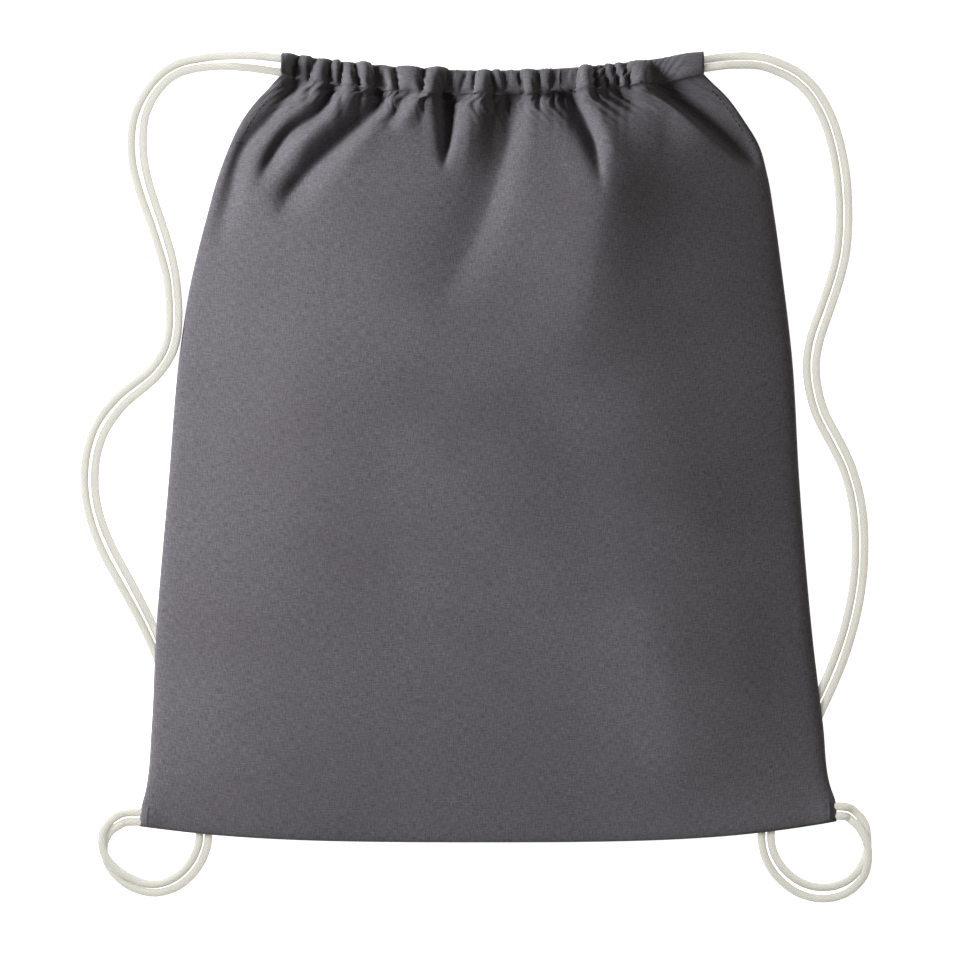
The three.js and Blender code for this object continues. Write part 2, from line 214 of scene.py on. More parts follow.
def even_spacing(points, step):
    lengths = np.r_[0, np.cumsum(np.linalg.norm(np.diff(points, axis=0), axis=1))]
    at = np.linspace(0, lengths[-1], max(2, round(lengths[-1] / step) + 1))
    return np.stack([np.interp(at, lengths, points[:, k]) for k in range(3)], axis=1)


def mesh_object(name, vertices, faces, uvs=None, material=None, smooth=True):
    mesh = bpy.data.meshes.new(name)
    mesh.from_pydata(np.asarray(vertices).tolist(), [], np.asarray(faces).tolist())
    mesh.validate()
    if uvs is not None:
        layer = mesh.uv_layers.new(name="cloth")
        index = np.empty(len(mesh.loops), dtype=np.int32)
        mesh.loops.foreach_get("vertex_index", index)
        layer.data.foreach_set("uv", np.asarray(uvs)[index].ravel())
    if smooth:
        mesh.polygons.foreach_set("use_smooth", [True] * len(mesh.polygons))
    obj = bpy.data.objects.new(name, mesh)
    bpy.context.scene.collection.objects.link(obj)
    if material is not None:
        mesh.materials.append(material)
    return obj


def grid_faces(rows, columns, flip=False):
    a = (np.arange(rows - 1)[:, None] * columns + np.arange(columns - 1)).ravel()
    faces = np.stack([a, a + 1, a + columns + 1, a + columns], axis=1)
    return faces[:, ::-1] if flip else faces


# ---------------------------------------------------------------- materials


class Nodes:
    """Builds a material's node tree with short calls."""

    def __init__(self, name):
        self.material = bpy.data.materials.new(name)
        self.material.use_nodes = True
        self.tree = self.material.node_tree
        self.shader = self.tree.nodes["Principled BSDF"]

    def add(self, kind, inputs=None, **settings):
        node = self.tree.nodes.new(kind)
        for key, value in settings.items():
            setattr(node, key, value)
        for key, value in (inputs or {}).items():
            self.put(node.inputs[key], value)
        return node

    def put(self, socket, value):
        if isinstance(value, bpy.types.NodeSocket):
            self.tree.links.new(value, socket)
        else:
            socket.default_value = value

    def math(self, operation, a, b=0.0, clamp=False):
        node = self.add("ShaderNodeMath", operation=operation, use_clamp=clamp)
        self.put(node.inputs[0], a)
        self.put(node.inputs[1], b)
        return node.outputs[0]

    def noise(self, vector, scale, detail=2.0, roughness=0.5, distortion=0.0):
        inputs = {
            "Vector": vector,
            "Scale": scale,
            "Detail": detail,
            "Roughness": roughness,
            "Distortion": distortion,
        }
        return self.add("ShaderNodeTexNoise", inputs).outputs["Fac"]

    def stretched(self, vector, scale):
        return self.add("ShaderNodeMapping", {"Vector": vector, "Scale": scale}).outputs["Vector"]

    def range(self, value, from_low, from_high, to_low, to_high):
        inputs = {
            "Value": value,
            "From Min": from_low,
            "From Max": from_high,
            "To Min": to_low,
            "To Max": to_high,
        }
        return self.add("ShaderNodeMapRange", inputs).outputs["Result"]

    def mix_colour(self, factor, a, b):
        node = self.add("ShaderNodeMix", data_type="RGBA")
        self.put(node.inputs["Factor"], factor)
        self.put(node.inputs["A"], a)
        self.put(node.inputs["B"], b)
        return node.outputs["Result"]

    def bump(self, height, distance, strength=1.0, normal=None):
        inputs = {"Height": height, "Distance": distance, "Strength": strength}
        if normal is not None:
            inputs["Normal"] = normal
        return self.add("ShaderNodeBump", inputs).outputs["Normal"]

    def finish(self, **sockets):
        for key, value in sockets.items():
            self.put(self.shader.inputs[key.replace("_", " ")], value)
        return self.material


YARN_PITCH = 0.62 * MM


def cotton_cloth(name, dark, light):
    """Plain-weave cotton: fine yarns both ways, thick and thin places along them, a faint bloom."""
    n = Nodes(name)
    uv = n.add("ShaderNodeUVMap", uv_map="cloth").outputs["UV"]
    across = n.add("ShaderNodeSeparateXYZ", {"Vector": uv})
    turns = 2 * math.pi / (2 * YARN_PITCH)
    warp = n.math("SINE", n.math("MULTIPLY", across.outputs["X"], turns))
    weft = n.math("SINE", n.math("MULTIPLY", across.outputs["Y"], turns))
    # Over and under: the product is high where a warp yarn passes over, low where a weft yarn does.
    interlace = n.math("MULTIPLY", warp, weft)
    ridges = n.math("ADD", n.math("ABSOLUTE", warp), n.math("ABSOLUTE", weft))
    weave = n.math("ADD", n.math("MULTIPLY", interlace, 0.35), n.math("MULTIPLY", ridges, 0.4))
    warp_slub = n.noise(n.stretched(uv, (1700, 260, 1)), 1.0, 2.0, 0.6)
    weft_slub = n.noise(n.stretched(uv, (230, 1800, 1)), 1.0, 2.0, 0.6)
    slub = n.math("ADD", n.range(warp_slub, 0.3, 0.7, -0.5, 0.5), n.range(weft_slub, 0.3, 0.7, -0.5, 0.5))
    patches = n.noise(uv, 9.0, 3.0, 0.55)
    speckle = n.noise(uv, 1500.0, 1.0, 0.5)
    tone = n.math("ADD", n.math("MULTIPLY", slub, 0.44), 0.5)
    tone = n.math("ADD", tone, n.range(patches, 0.3, 0.7, -0.07, 0.07))
    tone = n.math("ADD", tone, n.range(speckle, 0.3, 0.7, -0.12, 0.12))
    tone = n.math("ADD", tone, n.math("MULTIPLY", weave, 0.10), clamp=True)
    colour = n.mix_colour(tone, dark, light)
    tint = n.noise(uv, 16.0, 2.0, 0.5)
    warmer = [dark[0] * 1.5, dark[1] * 1.25, dark[2] * 1.45, 1]
    colour = n.mix_colour(n.range(tint, 0.4, 0.75, 0.0, 0.22), colour, warmer)
    slub_bump = n.bump(slub, 0.06 * MM, 0.4)
    weave_bump = n.bump(weave, 0.06 * MM, 0.5, slub_bump)
    return n.finish(
        Base_Color=colour,
        Roughness=n.range(slub, -1, 1, 0.86, 0.98),
        Normal=weave_bump,
        Specular_IOR_Level=0.22,
        Sheen_Weight=0.12,
        Sheen_Roughness=0.5,
        Sheen_Tint=(0.8, 0.78, 0.82, 1),
    )


def cord_cotton(name, shadow, light):
    """Braided natural cotton: diamonds of yarn with fine fibres, slightly uneven in tone, with painted shade
    in the grooves between the strands.
    """
    n = Nodes(name)
    uv = n.add("ShaderNodeUVMap", uv_map="cloth").outputs["UV"]
    parts = n.add("ShaderNodeSeparateXYZ", {"Vector": uv})
    along = n.math("MULTIPLY", parts.outputs["X"], 2 * math.pi / BRAID_PITCH)
    around = n.math("MULTIPLY", parts.outputs["Y"], 2 * math.pi * BRAID_STRANDS)
    left = n.math("SINE", n.math("ADD", around, along))
    right = n.math("SINE", n.math("SUBTRACT", around, along))
    groove = n.math("MULTIPLY", n.math("ABSOLUTE", left), n.math("ABSOLUTE", right))
    fibres = n.noise(n.stretched(uv, (900, 26, 1)), 1.0, 2.0, 0.6)
    uneven = n.noise(n.stretched(uv, (30, 2, 1)), 1.0, 3.0, 0.6)
    # Painted shade: the colour goes towards the shadow end in the grooves between the strands; the fibre and
    # uneven tones are the cotton's own.
    tone = n.math("ADD", n.math("MULTIPLY", groove, 0.55), n.range(fibres, 0.3, 0.7, 0.1, 0.4))
    tone = n.math("ADD", tone, n.range(uneven, 0.3, 0.7, -0.12, 0.12), clamp=True)
    height = n.math("ADD", groove, n.math("MULTIPLY", fibres, 0.5))
    return n.finish(
        Base_Color=n.mix_colour(tone, shadow, light),
        Roughness=n.range(fibres, 0.3, 0.7, 0.82, 0.96),
        Normal=n.bump(height, 0.18 * MM, 0.6),
        Specular_IOR_Level=0.2,
        Subsurface_Weight=0.75,
        Subsurface_Radius=(1.0, 0.95, 0.85),
        Subsurface_Scale=2.5 * MM,
    )


def twisted_thread(name, dark, light):
    """Sewing thread: a tight twist along the stitch and a slight sheen."""
    n = Nodes(name)
    place = n.add("ShaderNodeTexCoord").outputs["Object"]
    twist = n.add("ShaderNodeTexWave", {"Vector": place, "Scale": 900.0, "Distortion": 2.0})
    fuzz = n.noise(place, 2500.0, 2.0, 0.5)
    tone = n.math("ADD", n.math("MULTIPLY", twist.outputs["Fac"], 0.6), n.range(fuzz, 0.3, 0.7, 0, 0.4))
    return n.finish(
        Base_Color=n.mix_colour(tone, dark, light),
        Roughness=n.range(fuzz, 0.3, 0.7, 0.5, 0.7),
        Normal=n.bump(twist.outputs["Fac"], 0.06 * MM, 0.6),
        Specular_IOR_Level=0.35,
    )


def studio_paper(name):
    """The pale sweep that the bag lies on."""
    n = Nodes(name)
    place = n.add("ShaderNodeTexCoord").outputs["Object"]
    grain = n.noise(place, 180.0, 3.0, 0.5)
    colour = n.mix_colour(n.range(grain, 0.3, 0.7, 0, 1), (0.90, 0.90, 0.90, 1), (0.93, 0.93, 0.93, 1))
    return n.finish(
        Base_Color=colour,
        Roughness=0.9,
        Specular_IOR_Level=0.1,
        Emission_Color=(1, 1, 1, 1),
        Emission_Strength=0.93,
    )


BRAID_PITCH = 6.4 * MM
BRAID_STRANDS = 4

CLOTH = cotton_cloth("charcoal_cotton", (0.040, 0.0375, 0.040, 1), (0.172, 0.161, 0.176, 1))
ALLOWANCE = cotton_cloth("charcoal_cotton_allowance", (0.060, 0.055, 0.058, 1), (0.125, 0.116, 0.125, 1))
# The darker braid colour is reached in the painted shade of the grooves between strands, and in darker
# fibres.
BRAID = cord_cotton("natural_cotton_braid", (0.62, 0.61, 0.55, 1), (0.80, 0.79, 0.735, 1))
THREAD = twisted_thread("dark_thread", (0.070, 0.066, 0.071, 1), (0.165, 0.154, 0.167, 1))

# ---------------------------------------------------------------- cloth solver


class ClothGrid:
    """Position-based cloth on a grid of rows and columns, relaxed until its yarns have their length."""

    def __init__(self, points, rest_across, rest_along, pinned):
        self.p = points.copy()
        self.home = points.copy()
        self.pinned = pinned
        self.across = rest_across[:, None]
        self.along = rest_along
        self.contacts = []

    def pull(self, a, b, rest, stiffness):
        span = self.p[b] - self.p[a]
        length = np.sqrt((span**2).sum(-1))
        move = span * (0.5 * stiffness * (length - rest) / np.maximum(length, 1e-9))[..., None]
        self.p[a] += move
        self.p[b] -= move

    def stretch(self):
        rows, columns = self.p.shape[:2]
        for first in (0, 1):
            pairs = (columns - first) // 2
            a = (slice(None), slice(first, first + 2 * pairs, 2))
            b = (slice(None), slice(first + 1, first + 1 + 2 * pairs, 2))
            self.pull(a, b, self.across, 0.9)
        for first in (0, 1):
            pairs = (rows - first) // 2
            a = (slice(first, first + 2 * pairs, 2), slice(None))
            b = (slice(first + 1, first + 1 + 2 * pairs, 2), slice(None))
            self.pull(a, b, self.along[first : first + 2 * pairs : 2], 0.9)

    def shear(self, stiffness):
        p = self.p
        rest = np.sqrt(self.across[:-1] ** 2 + self.along[:, 1:] ** 2)
        for row in (0, 1):
            rows = (p.shape[0] - row) // 2
            top = slice(row, row + 2 * rows, 2)
            low = slice(row + 1, row + 1 + 2 * rows, 2)
            for column in (0, 1):
                columns = (p.shape[1] - column) // 2
                left = slice(column, column + 2 * columns, 2)
                right = slice(column + 1, column + 1 + 2 * columns, 2)
                own = rest[top, left]
                self.pull((top, left), (low, right), own, stiffness)
                self.pull((top, right), (low, left), own, stiffness)

    def bend(self, stiffness):
        p = self.p
        p[:, 1:-1] += stiffness * (0.5 * (p[:, :-2] + p[:, 2:]) - p[:, 1:-1])
        p[1:-1] += stiffness * (0.5 * (p[:-2] + p[2:]) - p[1:-1])

    def relax(self, rounds, bend, homing):
        for k in range(rounds):
            self.bend(bend)
            self.p += (self.home - self.p) * (homing * (1 - 0.8 * k / rounds))
            self.shear(0.25)
            self.stretch()
            for contact in self.contacts:
                contact(self.p)
            self.p[self.pinned] = self.home[self.pinned]


# ---------------------------------------------------------------- the two cloth sheets

COLUMNS = 280
PANEL_ROWS = 214
TUNNEL_ROWS = 22
CLOTH_THICKNESS = 0.45 * MM
STITCH_OFFSET = -6.6 * MM
TOP_OFFSET = 6.8 * MM
CORD_TOP = CORD / 2 + 0.7 * MM
SLEEVE_HALF_WIDTH = 6.05 * MM
BETWEEN_SHEETS = 12.5 * MM
MOUTH_HALF_GAP = 0.4 * MM
OVER_BACK = 1.4 * MM
OVER_SURFACE = 0.3 * MM
HIGH = 30 * MM
HIGH_GIVE = 3 * MM  # above HIGH the front is pressed softly into this much height
CROWN = 21 * MM
EDGE_ROLL = 2.5 * MM
EDGE_PUFF = 1.4 * MM
SEWN_GAP = 0.35 * MM  # two plies sewn together lie this far off their middle
SEAM_HEIGHT = 2.3 * MM
GATHER_REACH = 8 * MM
CORNER_AT = (0.186, 0.202)
CORNER_REACH = 7 * MM
CORNER_PUFF = 1.1 * MM
MOUTH_FOLD_Y = 195  # a fold that starts lower than this fades in at its upper end

RELAX_ROUNDS = 160
BEND = 0.02
HOMING = 0.06
SLACK_ACROSS = 0.992
SLACK_ALONG = 0.995
CALM_PASSES = 28
CALM_CONTACTS = 8
PANEL_CALM = 0.85
SLEEVE_CALM = 0.30

# Outline of the bag as it lies: height, left edge, right edge.
OUTLINE = np.array(
    [
        (-0.2070, -0.1904, 0.1903),
        (-0.1970, -0.1893, 0.1899),
        (-0.1877, -0.1870, 0.1869),
        (-0.1548, -0.1838, 0.1830),
        (-0.1110, -0.1817, 0.1776),
        (-0.0233, -0.1748, 0.1704),
        (0.0425, -0.1690, 0.1664),
        (0.0863, -0.1620, 0.1612),
        (0.1192, -0.1540, 0.1567),
        (0.1411, -0.1480, 0.1530),
        (0.1580, -0.1418, 0.1482),
        (0.1740, -0.1337, 0.1386),
        (0.1849, -0.1258, 0.1310),
        (0.2000, -0.1118, 0.1170),
    ]
)

# Pinched places along the tunnel in millimetres, left to right, and how high the pleat after each is.
PLEATS = [
    (-121, 5.6), (-105, 3.8), (-97, 3.4), (-86.5, 4.0), (-79.5, 3.0), (-70, 5.4), (-59.7, 3.0), (-49, 4.8),
    (-35.5, 5.4), (-22.5, 2.4), (-14.8, 2.0), (-8, 4.4), (2.7, 3.4), (10.7, 3.0), (18.6, 3.6),
    (27.5, 3.0), (35.4, 2.0), (40.3, 2.2), (46, 5.2), (57.5, 2.6), (64, 3.2), (70.7, 3.0),
    (76, 3.6), (88.5, 3.2), (128, 0),
]  # fmt: skip

# Folds that fan out below the tunnel, in millimetres. Each is the line of its deepest (or highest)
# points walking away from the mouth, and then three pairs, each at the mouth and at the far end:
# half width to the west, half width to the east, and depth. Ridges have a negative depth.
FOLDS = [
    ([(-96.4, 212), (-99, 205), (-104, 197), (-110, 190), (-118, 180), (-126.5, 172), (-133.5, 163),
      (-138, 151), (-141, 138), (-144.5, 126), (-147, 112), (-148, 98)], (4, 5), (4, 6.5), (6.5, 2.4)),
    ([(-83, 209), (-83, 200), (-89.5, 187), (-94, 181), (-103, 176), (-109.5, 171), (-115.5, 163),
      (-120, 155), (-123.5, 147), (-126, 138)], (2, 4.5), (6, 5), (8.5, 6)),
    ([(-80, 207), (-81.5, 203), (-83, 198)], (1.5, 1.5), (2.5, 2.5), (3.5, 1.5)),
    ([(-59.6, 206), (-58, 199), (-57.6, 190), (-63, 182), (-71, 175), (-82, 165.5), (-93.5, 155),
      (-101.5, 146), (-108, 138), (-112, 129), (-115, 119)], (8, 6), (2.5, 9), (12, 7)),
    ([(-40, 202), (-42, 193), (-48, 185), (-53.5, 176), (-57, 171)], (6, 6), (2.5, 4), (6, 1.5)),
    ([(-21.8, 202), (-20.6, 188), (-20.6, 176), (-22, 164), (-24.5, 147)], (8, 2), (4.5, 2), (14, 4)),
    ([(-9, 202), (-11, 193), (-14, 185)], (3, 3), (1.5, 2), (5, 2)),
    ([(15, 204), (14, 190), (11, 168), (5, 147), (-2, 126), (-10, 108), (-24, 81), (-34, 59)],
     (14, 20), (4, 14), (8.5, 2)),
    ([(37.5, 203), (45, 195), (52, 179), (58.5, 162), (62.5, 134)], (11, 3), (3, 2), (15, 4)),
    ([(64, 202), (69, 194), (76, 188), (88, 185)], (3.5, 4), (3.5, 4), (4.5, 2)),
    ([(88, 205), (90.5, 197), (102, 189), (112.5, 181), (123, 172.5), (133.5, 164), (144, 157),
      (151, 152)], (2, 2), (9, 8), (8.5, 4)),
    ([(-70, 206), (-74, 197), (-88, 180), (-103, 164), (-112, 152)], (5, 5), (5, 7), (-4, -1.5)),
    ([(-51, 204), (-54, 192), (-62, 178), (-76, 160), (-92, 144)], (3, 5), (5, 7), (-3, -1)),
    ([(-31, 203), (-35, 192), (-44, 180), (-52, 168)], (3, 4), (5, 6), (-3.5, -1)),
    ([(-4, 202), (-6, 188), (-10, 168), (-16, 140)], (4, 6), (8, 12), (-3.5, -1)),
    ([(48, 201), (58.5, 184), (66, 166), (69, 150)], (3, 6), (6, 9), (-3.5, -1.5)),
    ([(86, 196), (98, 186), (110, 177), (130, 161)], (6, 9), (3, 3), (-3, -1.5)),
    ([(62, 182), (66, 150), (60, 115), (52, 70), (42, 15)], (24, 40), (21, 42), (-12.5, -1.8)),
    ([(50, -15), (80, -80), (98, -130), (104, -170), (106, -205)], (45, 40), (40, 45), (-3.5, -4)),
    ([(0, 60), (40, 0), (70, -70), (96, -110)], (20, 26), (20, 26), (1.2, 0.7)),
    ([(60, 60), (100, -10), (130, -80)], (22, 26), (22, 26), (-1.1, -0.8)),
    ([(-90, 90), (-100, 0), (-110, -100)], (26, 28), (26, 28), (-0.9, -0.6)),
    ([(-60, 40), (-50, -60), (-20, -150)], (24, 24), (24, 24), (0.8, 0.5)),
]  # fmt: skip


def mouth_y(x, offset):
    return MOUTH_PIVOT_Y - np.sqrt((MOUTH_RADIUS - offset) ** 2 - np.asarray(x) ** 2)


def bottom_y(x):
    """The bottom seam sags a little in the middle, and lifts more towards the right corner."""
    rise = np.where(np.asarray(x) < 0, 9.3, 12.0) * MM
    return BAG_LOW.y + rise * np.abs(np.asarray(x) / 0.1903) ** 3


def fold_field(x, y):
    """Height that the folds add at points x, y."""
    total = np.zeros_like(x)
    for line, west, east, depth in FOLDS:
        path = catmull(np.array(line, float) * MM, 5)
        best = np.full(x.shape, np.inf)
        along = np.zeros_like(x)
        sign = np.zeros_like(x)
        for k in range(len(path) - 1):
            a, span = path[k], path[k + 1] - path[k]
            t = ((x - a[0]) * span[0] + (y - a[1]) * span[1]) / (span @ span)
            t = np.clip(t, 0, 1)
            dx, dy = x - a[0] - t * span[0], y - a[1] - t * span[1]
            distance = np.hypot(dx, dy)
            nearer = distance < best
            best = np.where(nearer, distance, best)
            along = np.where(nearer, (k + t) / (len(path) - 1), along)
            sign = np.where(nearer, span[0] * dy - span[1] * dx, sign)
        blend = [(ends[0] + (ends[1] - ends[0]) * along) * MM for ends in (west, east, depth)]
        width = np.where(sign > 0, blend[1], blend[0])
        fade = 1 - smoothstep(along, 0.7, 1)
        if line[0][1] < MOUTH_FOLD_Y:
            fade = fade * smoothstep(along, 0, 0.35)
        total -= fade * blend[2] * np.exp(-((best / width) ** 1.6))
    return total


def pleats(x, offset):
    """Height of the gathered pleats at x along the tunnel and at an offset across it."""
    place = np.array(PLEATS)
    lean = 0.22 * np.sin(7.1 * np.arange(len(place)))
    pinch = place[:, 0] * MM + lean * (offset - STITCH_OFFSET)
    k = np.clip(np.searchsorted(pinch, x) - 1, 0, len(pinch) - 2)
    t = np.clip((x - pinch[k]) / (pinch[k + 1] - pinch[k]), 0, 1)
    return np.sin(np.pi * t) ** 0.75 * place[k, 1] * MM


def seam_height(y, x):
    """Height of the seams: they lie on the surface, or over the cord legs near the bottom corners."""
    return SEAM_HEIGHT + leg_lift(x, y)


def leg_lift(x, y):
    """The cord legs pass under both bottom corners, and the cloth rises gently on to them."""
    return (UNDERPASS - 0.4 * MM) * smoothstep(np.abs(x), 0.045, 0.150) * smoothstep(-y, 0.020, 0.095)


def sheet_plan():
    """x and y of every panel point, from the bottom seam up to the stitch line of the tunnel."""
    v = np.linspace(0, 1, PANEL_ROWS + 1)[:, None]
    u = np.linspace(0, 1, 4 * COLUMNS + 1)[None, :]
    edge_y = OUTLINE[0, 0] + v * (OUTLINE[-1, 0] - OUTLINE[0, 0])
    left = smooth_curve(OUTLINE[:, 0], OUTLINE[:, 1], edge_y)
    right = smooth_curve(OUTLINE[:, 0], OUTLINE[:, 2], edge_y)
    x = left + u * (right - left)
    y = bottom_y(x) + v * (mouth_y(x, STITCH_OFFSET) - bottom_y(x))
    return u, v, x, y


def panel_height(side, u, v, x, y):
    """Height of the front (side 1) or the back (side -1) as it is first laid."""
    s = np.abs(2 * u - 1)
    seam = seam_height(y, x)
    from_edge = np.minimum(u, 1 - u) * (x[:, -1:] - x[:, :1])
    roll = (1 - np.exp(-from_edge / EDGE_ROLL)) * (1 - np.exp(-(y - bottom_y(x)) / EDGE_ROLL))
    below = mouth_y(x, STITCH_OFFSET) - y
    gathers = pleats(x, STITCH_OFFSET) * np.exp(-below / GATHER_REACH)
    folds = fold_field(x, y) * smoothstep(from_edge, 0, 0.006)
    if side > 0:
        crown = (1 - s**2.3) * (1 - (1 - v) ** 4)
        z = seam + SEWN_GAP + EDGE_PUFF * roll + CROWN * crown
        rising = smoothstep(-below, -0.055, 0)
        seen_stitches = np.exp(-(((x - 0.018) / 0.024) ** 4)) + smoothstep(x, 0.088, 0.100)
        z = z + (FRONT_TUNNEL_Z + (0.9 - 2.4 * seen_stitches) * MM - z) * rising
        corner = np.hypot(np.abs(x) - CORNER_AT[0], y + CORNER_AT[1]) / CORNER_REACH
        z = z + folds + 1.3 * gathers + CORNER_PUFF * np.exp(-(corner**2))
        return np.where(z > HIGH, HIGH + HIGH_GIVE * np.tanh((z - HIGH) / HIGH_GIVE), z)
    lift = leg_lift(x, y) + 0.5 * MM
    z = lift + (seam - SEWN_GAP - lift) * (1 - roll)
    z = z + (BACK_TUNNEL_Z - 0.5 * MM - z) * smoothstep(-below, -0.03, 0)
    return z + 0.45 * np.maximum(0, -folds) - 0.4 * gathers


def tunnel_shape(side, x_row, z_row):
    """The sleeve: from the stitch line over the cords, round the top fold and back inside."""
    tunnel_z = FRONT_TUNNEL_Z if side > 0 else BACK_TUNNEL_Z
    rows = []
    for share in np.linspace(0, 1, TUNNEL_ROWS + 1)[1:]:
        angle = np.pi * (1 - 2 * share)
        outer = angle > 0
        centre = (TOP_OFFSET + STITCH_OFFSET) / 2
        reach = (TOP_OFFSET - STITCH_OFFSET) / 2
        offset = centre + reach * np.cos(angle)
        height = pleats(x_row, offset)
        swell = CORD_TOP + (height * (1.0 if side > 0 else 0.45) if outer else 0.3 * height)
        z = tunnel_z + side * np.sign(angle) * abs(np.sin(angle)) ** 0.7 * swell
        near_stitch = (1 + np.cos(angle)) / 2
        z = z + (z_row - tunnel_z) * (1 - near_stitch) ** (1.5 if outer else 3)
        from_end = np.minimum(x_row - x_row[0], x_row[-1] - x_row)
        rounding = np.exp(-from_end / (3.5 * MM)) * np.where(x_row < 0, 3.2, 1.2) * MM
        offset = offset + near_stitch * ((height - 3 * MM) * 0.9 - rounding)
        rows.append(np.stack([x_row, mouth_y(x_row, offset), z], axis=-1))
    return np.array(rows)


def even_columns(points, columns):
    """Every row's points moved along it until they are equally far apart."""
    out = np.empty((len(points), columns + 1, 3))
    lengths = np.empty(len(points))
    for row, line in enumerate(points):
        at = np.r_[0, np.cumsum(np.linalg.norm(np.diff(line, axis=0), axis=1))]
        lengths[row] = at[-1]
        even = np.linspace(0, at[-1], columns + 1)
        out[row] = np.stack([np.interp(even, at, line[:, k]) for k in range(3)], axis=-1)
    return out, lengths


def smooth_across(values, reach):
    padded = np.pad(values, ((0, 0), (reach, reach)), mode="edge")
    total = np.cumsum(np.pad(padded, ((0, 0), (1, 0))), axis=1)
    return (total[:, 2 * reach + 1 :] - total[:, : -2 * reach - 1]) / (2 * reach + 1)


def calm(grid):
    """Eases out the finest ripples that the relaxation left, less so in the sleeve round the cords."""
    moved = grid.p - grid.home
    smooth = moved.copy()
    for _ in range(CALM_PASSES):
        smooth[:, 1:-1] += 0.25 * (smooth[:, :-2] + smooth[:, 2:] - 2 * smooth[:, 1:-1])
        smooth[1:-1] += 0.25 * (smooth[:-2] + smooth[2:] - 2 * smooth[1:-1])
    sleeve = smoothstep(np.arange(len(moved)), PANEL_ROWS - 16, PANEL_ROWS - 3)[:, None, None]
    share = PANEL_CALM + (SLEEVE_CALM - PANEL_CALM) * sleeve
    grid.p = grid.home + (1 - share) * moved + share * smooth
    for _ in range(CALM_CONTACTS):
        for contact in grid.contacts:
            contact(grid.p)


def make_sheet(side):
    """Relaxed points of one sheet, rows from the bottom seam to the end of the tunnel hem, and UVs."""
    u, v, x, y = sheet_plan()
    z = panel_height(side, u, v, x, y)
    panel = np.stack(np.broadcast_arrays(x, y, z), axis=-1)
    laid = np.concatenate([panel, tunnel_shape(side, x[-1], z[-1])])
    points, lengths = even_columns(laid, COLUMNS)
    lengths = np.convolve(np.pad(lengths, 6, mode="edge"), np.ones(13) / 13, mode="valid")
    rest_across = lengths * SLACK_ACROSS / COLUMNS
    rest_along = smooth_across(np.linalg.norm(np.diff(points, axis=0), axis=2), 12) * SLACK_ALONG
    pinned = np.zeros(points.shape[:2], bool)
    pinned[0] = True
    pinned[:, 0] = pinned[:, -1] = True
    grid = ClothGrid(points, rest_across, rest_along, pinned)
    grid.contacts = [lambda p: hold_mouth(p, side), lambda p: rest_on(p, side)]
    grid.relax(RELAX_ROUNDS, BEND, HOMING)
    calm(grid)
    uvs = np.stack(
        np.broadcast_arrays(
            np.linspace(-0.5, 0.5, COLUMNS + 1) * lengths[:, None],
            np.r_[0, np.cumsum(rest_along.mean(axis=1))][:, None],
        ),
        axis=-1,
    )
    return grid.p, uvs


def hold_mouth(p, side):
    """Keeps the sleeve outside its cords and its stitch line sewn shut."""
    tunnel_z = FRONT_TUNNEL_Z if side > 0 else BACK_TUNNEL_Z
    sleeve = p[PANEL_ROWS + 1 :]
    radius = np.hypot(sleeve[..., 0], sleeve[..., 1] - MOUTH_PIVOT_Y)
    offset = MOUTH_RADIUS - radius
    rise = sleeve[..., 2] - tunnel_z
    depth = (np.abs(offset / SLEEVE_HALF_WIDTH) ** 3 + np.abs(rise / CORD_TOP) ** 3) ** (1 / 3)
    push = np.where(depth < 1, 1 / np.maximum(depth, 0.2), 1)
    scale = (MOUTH_RADIUS - offset * push) / radius
    sleeve[..., 0] *= scale
    sleeve[..., 1] = MOUTH_PIVOT_Y + (sleeve[..., 1] - MOUTH_PIVOT_Y) * scale
    sleeve[..., 2] = tunnel_z + rise * push
    middle = (p[PANEL_ROWS] + p[-1]) / 2
    middle[:, 1] += 0.5 * (mouth_y(middle[:, 0], STITCH_OFFSET) - middle[:, 1])
    gap = np.array([0, 0, side * SEWN_GAP])
    p[PANEL_ROWS] = middle + gap
    p[-1] = middle - gap


def rest_on(p, side):
    """The front stays above the back, the back on the surface, and the two mouths apart."""
    lift = leg_lift(p[..., 0], p[..., 1])
    if side > 0:
        lowest = lift + OVER_BACK
        lowest[PANEL_ROWS:] = BETWEEN_SHEETS + MOUTH_HALF_GAP
        p[..., 2] = np.maximum(p[..., 2], lowest)
    else:
        p[..., 2] = np.maximum(p[..., 2], lift + OVER_SURFACE)
        p[PANEL_ROWS:, :, 2] = np.minimum(p[PANEL_ROWS:, :, 2], BETWEEN_SHEETS - MOUTH_HALF_GAP)


def solid_sheet(name, points, uvs, side, material):
    """A cloth mesh with a real thickness, its good side facing out of the bag."""
    rows, columns = points.shape[:2]
    faces = grid_faces(rows, columns, flip=side < 0)
    obj = mesh_object(name, points.reshape(-1, 3), faces, uvs.reshape(-1, 2), material)
    solidify = obj.modifiers.new("thickness", "SOLIDIFY")
    solidify.thickness = CLOTH_THICKNESS
    solidify.offset = -1
    return obj


# ---------------------------------------------------------------- drawcords


def mouth_point(along, offset, z):
    angle = along / MOUTH_RADIUS
    radius = MOUTH_RADIUS - offset
    return (radius * math.sin(angle), MOUTH_PIVOT_Y - radius * math.cos(angle), z)


